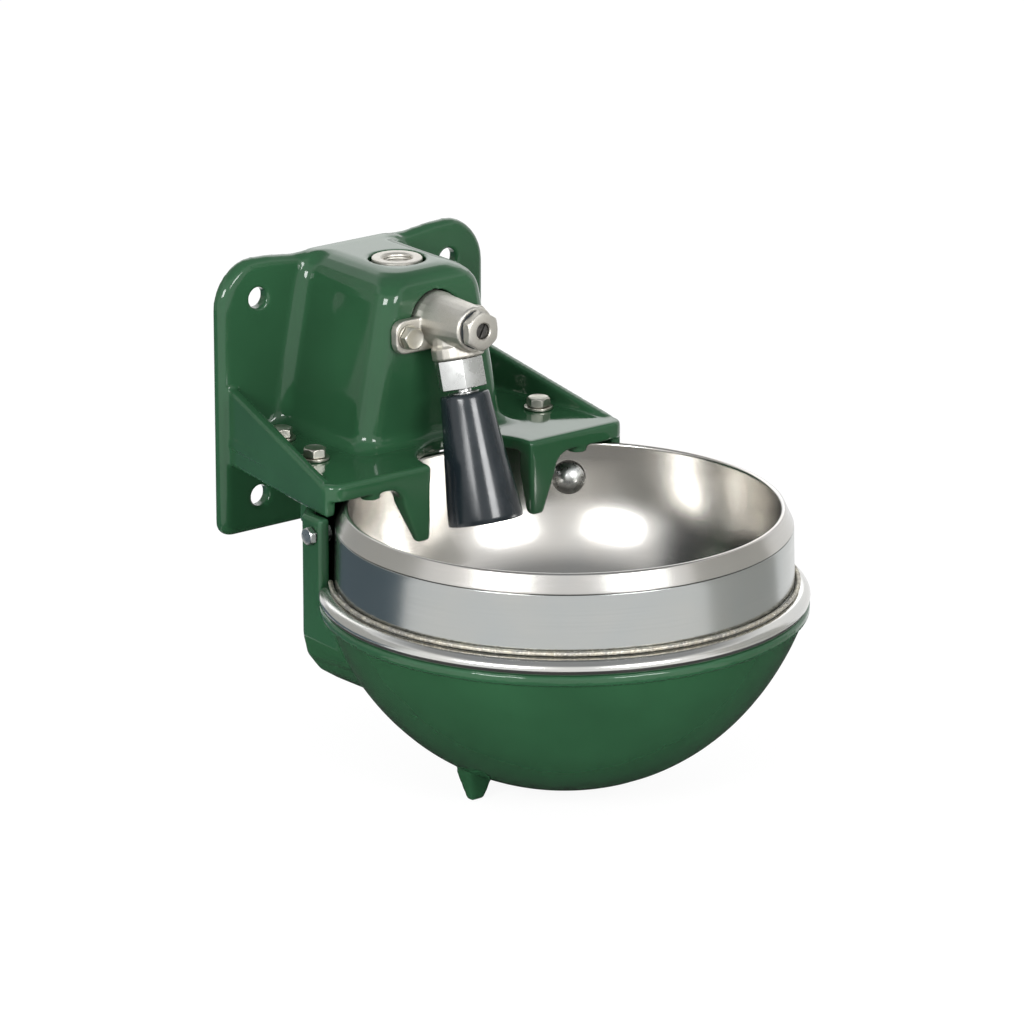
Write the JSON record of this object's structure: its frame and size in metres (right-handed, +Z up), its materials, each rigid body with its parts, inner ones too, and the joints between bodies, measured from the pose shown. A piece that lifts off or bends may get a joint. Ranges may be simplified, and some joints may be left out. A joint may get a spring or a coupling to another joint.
{
  "type": "livestock drinking bowl",
  "caption": "Wall-mounted drinking bowl for livestock: cast bracket with hood and shelf, double-walled steel bowl below, and a rubber nozzle valve that opens when it is tilted.",
  "frame": {"origin": "centre of the wall plate's flat back face, which lies on the wall", "axes": "+Z up, +Y into the wall, +X to the right seen from the front; the bowl stands out to -Y"},
  "size_m": [0.2968, 0.3669, 0.2922],
  "materials": {
    "green_enamel": "gloss",
    "satin_steel": "satin",
    "weld_metal": "rough",
    "heater_foil": "satin",
    "foam": "matte",
    "bright_steel": "polished",
    "zinc": "satin",
    "cast_steel": "matte",
    "rubber": "satin",
    "nozzle_rubber": "satin",
    "dark_steel": "satin",
    "white_plastic": "satin"
  },
  "bodies": {
    "root": {"bracket": "green_enamel", "lower_housing": "green_enamel", "drinking_bowl": "satin_steel", "bowl_skirt": "satin_steel", "rim_ring": "satin_steel", "weld_bead": "weld_metal", "heating_plate": "heater_foil", "insulation": "foam", "bowl_bolt": "bright_steel", "bowl_bolt_spacer": "bright_steel", "earth_bolt": "bright_steel", "earth_nut": "bright_steel", "valve_cap": "bright_steel", "outlet_nut": "bright_steel", "spring_cup": "bright_steel", "closing_spring": "bright_steel", "bowl_bolt_washer": "zinc", "bowl_bolt_nut": "zinc", "shelf_bolt_front_left": "zinc", "shelf_bolt_front_right": "zinc", "shelf_bolt_rear_left": "zinc", "shelf_bolt_rear_right": "zinc", "shelf_washer_front_left": "zinc", "shelf_washer_front_right": "zinc", "shelf_washer_rear_left": "zinc", "shelf_washer_rear_right": "zinc", "valve_bolt_left": "zinc", "valve_bolt_right": "zinc", "valve_washer_left": "zinc", "valve_washer_right": "zinc", "inlet_manifold": "cast_steel", "valve_body": "cast_steel", "valve_seal": "rubber", "cap_gasket": "rubber", "seat_ring": "white_plastic"},
    "liner": {"liner_ring": "white_plastic"},
    "nozzle": {"nozzle_stem": "bright_steel", "nozzle": "nozzle_rubber"},
    "screw_travel": {"screw_seal": "rubber"},
    "flow_screw": {"flow_screw": "dark_steel"}
  },
  "joints": [
    {"name": "nozzle_tilt_fore_aft", "type": "hinge", "parent": "root", "child": "liner", "pos_m": [0, -0.1176, 0.02528], "axis": [1, 0, 0], "range_deg": [-8, 8], "stiffness_Nm_per_rad": 2},
    {"name": "nozzle_tilt_sideways", "type": "hinge", "parent": "liner", "child": "nozzle", "pos_m": [0, -0.1176, 0.02528], "axis": [0, -0.9636, 0.2672], "range_deg": [-8, 8], "stiffness_Nm_per_rad": 2},
    {"name": "flow_screw_travel", "type": "slide", "parent": "root", "child": "screw_travel", "axis": [0, -0.9986, 0.0523], "range_m": [-0.00125, 0.00125]},
    {"name": "flow_screw_turn", "type": "hinge", "parent": "screw_travel", "child": "flow_screw", "pos_m": [0, -0.13784, 0.0586], "axis": [0, -0.9986, 0.0523], "range_deg": [-360, 360]}
  ],
  "couplings": [
    {"joint": "flow_screw_turn", "follows": "flow_screw_travel", "rad_per_m": 5026.5}
  ]
}
